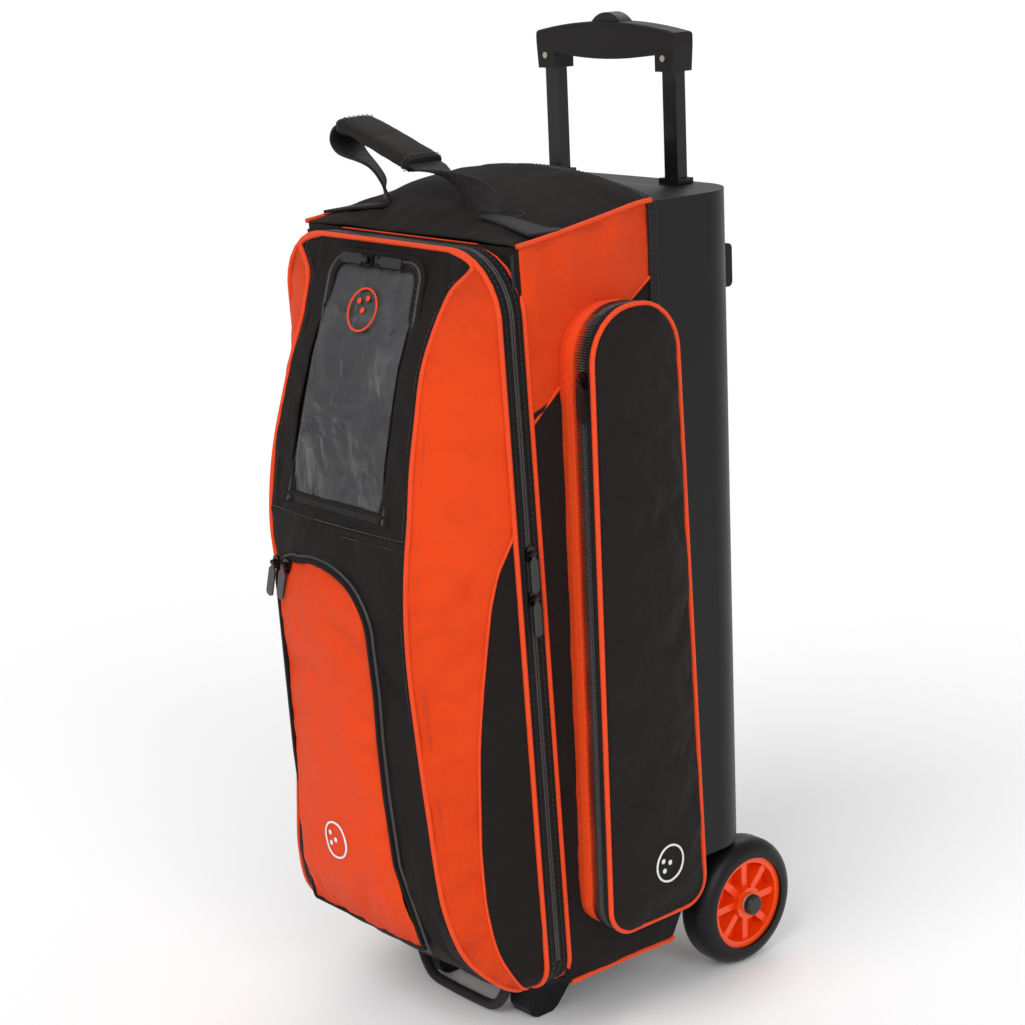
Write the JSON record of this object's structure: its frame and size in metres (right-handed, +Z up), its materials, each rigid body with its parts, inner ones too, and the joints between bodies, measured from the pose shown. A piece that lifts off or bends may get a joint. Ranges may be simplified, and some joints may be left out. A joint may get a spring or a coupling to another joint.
{
  "type": "wheeled bowling bag",
  "caption": "Upright wheeled bag for stacked bowling balls, with a zipped front door, side pockets and a telescopic pull handle.",
  "frame": {"origin": "middle of the bounding box on the ground", "axes": "+Z up, -Y towards the front door, +Y towards the wheels, +X to the right seen from the front"},
  "size_m": [0.394, 0.4457, 0.916],
  "materials": {
    "rear_shell": "satin moulded shell",
    "handle_tube": "satin black tube",
    "black_fabric": "plain weave polyester",
    "side_fabric": "honeycomb ripstop above, plain weave below",
    "moulded_base": "matt moulding",
    "zipper_tape": "woven tape with coil",
    "lining": "woven lining over board",
    "foam": "closed foam",
    "steel": "plated",
    "cap_plastic": "gloss",
    "orange_fabric": "honeycomb ripstop",
    "tyre_rubber": "matt rubber",
    "hub_plastic": "glossy orange moulding",
    "nylon": "natural nylon",
    "grip_plastic": "fine textured",
    "button_plastic": "gloss",
    "mesh": "open net",
    "window_binding": "tape",
    "clear_vinyl": "clear flexible vinyl",
    "webbing": "ribbed webbing",
    "sleeve_fabric": "padded",
    "zipper_metal": "gloss black",
    "pull_rubber": "moulded pull"
  },
  "bodies": {
    "bag_body": {"back_shell": "rear_shell", "outer_tubes": "handle_tube", "side_wall_right": "side_fabric", "side_wall_left": "side_fabric", "top_panel": "black_fabric", "base_tray": "moulded_base", "zipper_half_body": "zipper_tape", "ball_shelves": "lining", "ball_rings": "foam", "rear_liner": "lining", "rear_bumpers": "moulded_base", "front_feet": "moulded_base", "axle_block": "moulded_base", "axle": "steel", "axle_caps": "cap_plastic", "pocket_gusset_right": "orange_fabric", "pocket_gusset_left": "orange_fabric"},
    "wheel_right": {"tyre_right": "tyre_rubber", "hub_right": "hub_plastic", "wheel_bush_right": "nylon"},
    "wheel_left": {"tyre_left": "tyre_rubber", "hub_left": "hub_plastic", "wheel_bush_left": "nylon"},
    "pull_handle": {"inner_tubes": "handle_tube", "grip_lower": "grip_plastic", "grip_upper": "grip_plastic", "grip_rivets": "steel"},
    "release_button": {"push_button": "button_plastic", "release_bar": "nylon"},
    "catch_right": {"catch_pin_right": "nylon"},
    "catch_left": {"catch_pin_left": "nylon"},
    "front_door": {"door_shell": "orange_fabric", "zipper_half_door": "zipper_tape", "shoe_net": "mesh", "window_tray": "lining"},
    "window_flap": {"window_frame": "window_binding", "window_pane": "clear_vinyl"},
    "lower_flap": {"pocket_flap": "orange_fabric"},
    "side_lid_right": {"pocket_lid_right": "black_fabric"},
    "side_lid_left": {"pocket_lid_left": "black_fabric"},
    "carry_loop": {"carry_handle": "webbing", "carry_sleeve": "sleeve_fabric"},
    "grab_loop": {"grab_handle": "webbing"},
    "slider_main_upper": {"slider_main_upper": "zipper_metal"},
    "tab_main_upper": {"tab_main_upper": "pull_rubber"},
    "slider_main_lower": {"slider_main_lower": "zipper_metal"},
    "tab_main_lower": {"tab_main_lower": "pull_rubber"},
    "slider_window_left": {"slider_window_left": "zipper_metal"},
    "tab_window_left": {"tab_window_left": "pull_rubber"},
    "slider_window_right": {"slider_window_right": "zipper_metal"},
    "tab_window_right": {"tab_window_right": "pull_rubber"},
    "slider_pocket_left": {"slider_pocket_left": "zipper_metal"},
    "tab_pocket_left": {"tab_pocket_left": "pull_rubber"},
    "slider_pocket_right": {"slider_pocket_right": "zipper_metal"},
    "tab_pocket_right": {"tab_pocket_right": "pull_rubber"},
    "slider_side_right": {"slider_side_right": "zipper_metal"},
    "tab_side_right": {"tab_side_right": "pull_rubber"},
    "slider_side_left": {"slider_side_left": "zipper_metal"},
    "tab_side_left": {"tab_side_left": "pull_rubber"}
  },
  "joints": [
    {"name": "wheel_right_spin", "type": "hinge", "parent": "bag_body", "child": "wheel_right", "pos_m": [0.126, 0.15598, 0.0635], "axis": [1, 0, 0], "continuous": true},
    {"name": "wheel_left_spin", "type": "hinge", "parent": "bag_body", "child": "wheel_left", "pos_m": [-0.126, 0.15598, 0.0635], "axis": [1, 0, 0], "continuous": true},
    {"name": "handle_slide", "type": "slide", "parent": "bag_body", "child": "pull_handle", "axis": [0, 0, 1], "range_m": [-0.09, 0.15]},
    {"name": "button_press", "type": "slide", "parent": "pull_handle", "child": "release_button", "axis": [0, 0, -1], "range_m": [0, 0.005], "stiffness_N_per_m": 600, "springref_m": -0.002},
    {"name": "catch_right_draw", "type": "slide", "parent": "pull_handle", "child": "catch_right", "axis": [1, 0, 0], "range_m": [0, 0.003]},
    {"name": "catch_left_draw", "type": "slide", "parent": "pull_handle", "child": "catch_left", "axis": [-1, 0, 0], "range_m": [0, 0.003]},
    {"name": "door_hinge", "type": "hinge", "parent": "bag_body", "child": "front_door", "pos_m": [0, -0.09702, 0.066], "axis": [1, 0, 0], "range_deg": [0, 60]},
    {"name": "window_hinge", "type": "hinge", "parent": "front_door", "child": "window_flap", "pos_m": [0, -0.20581, 0.506], "axis": [1, 0, 0], "range_deg": [0, 110]},
    {"name": "lower_flap_hinge", "type": "hinge", "parent": "front_door", "child": "lower_flap", "pos_m": [0, -0.1735, 0.108], "axis": [1, 0, 0], "range_deg": [0, 100]},
    {"name": "side_lid_right_hinge", "type": "hinge", "parent": "bag_body", "child": "side_lid_right", "pos_m": [0.18, 0.04898, 0.12], "axis": [0, -0.0353, 0.9994], "range_deg": [0, 100]},
    {"name": "side_lid_left_hinge", "type": "hinge", "parent": "bag_body", "child": "side_lid_left", "pos_m": [-0.18, 0.04898, 0.12], "axis": [0, 0.0353, -0.9994], "range_deg": [0, 100]},
    {"name": "carry_loop_swing", "type": "hinge", "parent": "bag_body", "child": "carry_loop", "pos_m": [0, -0.06602, 0.76556], "axis": [1, 0, 0], "range_deg": [-25, 45]},
    {"name": "grab_loop_swing", "type": "hinge", "parent": "bag_body", "child": "grab_loop", "pos_m": [0, -0.09002, 0.058], "axis": [-1, 0, 0], "range_deg": [0, 28]},
    {"name": "slider_main_upper_slide", "type": "slide", "parent": "bag_body", "child": "slider_main_upper", "axis": [0, -0.036, 0.9994], "range_m": [0, 0.2]},
    {"name": "tab_main_upper_swing", "type": "hinge", "parent": "slider_main_upper", "child": "tab_main_upper", "pos_m": [0.1536, -0.11193, 0.48], "axis": [0, -0.9994, -0.036], "range_deg": [0, 150]},
    {"name": "slider_main_lower_slide", "type": "slide", "parent": "bag_body", "child": "slider_main_lower", "axis": [0, 0.036, -0.9994], "range_m": [0, 0.3]},
    {"name": "tab_main_lower_swing", "type": "hinge", "parent": "slider_main_lower", "child": "tab_main_lower", "pos_m": [0.1536, -0.11049, 0.44], "axis": [0, -0.9994, -0.036], "range_deg": [0, 150]},
    {"name": "slider_window_left_slide", "type": "slide", "parent": "window_flap", "child": "slider_window_left", "axis": [-1, 0, 0], "range_m": [0, 0.02]},
    {"name": "tab_window_left_swing", "type": "hinge", "parent": "slider_window_left", "child": "tab_window_left", "pos_m": [-0.008, -0.14947, 0.72418], "axis": [0, 0.2457, 0.9693], "range_deg": [0, 90]},
    {"name": "slider_window_right_slide", "type": "slide", "parent": "window_flap", "child": "slider_window_right", "axis": [1, 0, 0], "range_m": [0, 0.02]},
    {"name": "tab_window_right_swing", "type": "hinge", "parent": "slider_window_right", "child": "tab_window_right", "pos_m": [0.008, -0.14947, 0.72418], "axis": [0, -0.2457, -0.9693], "range_deg": [0, 90]},
    {"name": "slider_pocket_left_slide", "type": "slide", "parent": "lower_flap", "child": "slider_pocket_left", "axis": [-1, 0, 0], "range_m": [0, 0.006]},
    {"name": "tab_pocket_left_swing", "type": "hinge", "parent": "slider_pocket_left", "child": "tab_pocket_left", "pos_m": [-0.074, -0.22409, 0.45383], "axis": [-0.9438, -0.0119, 0.3303], "range_deg": [0, 150]},
    {"name": "slider_pocket_right_slide", "type": "slide", "parent": "lower_flap", "child": "slider_pocket_right", "axis": [1, 0, 0], "range_m": [0, 0.018]},
    {"name": "tab_pocket_right_swing", "type": "hinge", "parent": "slider_pocket_right", "child": "tab_pocket_right", "pos_m": [-0.058, -0.22409, 0.45383], "axis": [-0.9438, -0.0119, 0.3303], "range_deg": [0, 150]},
    {"name": "slider_side_right_slide", "type": "slide", "parent": "bag_body", "child": "slider_side_right", "axis": [0, 0, -1], "range_m": [0, 0.45]},
    {"name": "tab_side_right_swing", "type": "hinge", "parent": "slider_side_right", "child": "tab_side_right", "pos_m": [0.18, -0.07512, 0.628], "axis": [-1, 0, 0], "range_deg": [0, 150]},
    {"name": "slider_side_left_slide", "type": "slide", "parent": "bag_body", "child": "slider_side_left", "axis": [0, 0, -1], "range_m": [0, 0.45]},
    {"name": "tab_side_left_swing", "type": "hinge", "parent": "slider_side_left", "child": "tab_side_left", "pos_m": [-0.18, -0.07512, 0.628], "axis": [-1, 0, 0], "range_deg": [0, 150]}
  ],
  "couplings": [
    {"joint": "catch_right_draw", "follows": "button_press", "ratio": 0.6},
    {"joint": "catch_left_draw", "follows": "button_press", "ratio": 0.6}
  ]
}
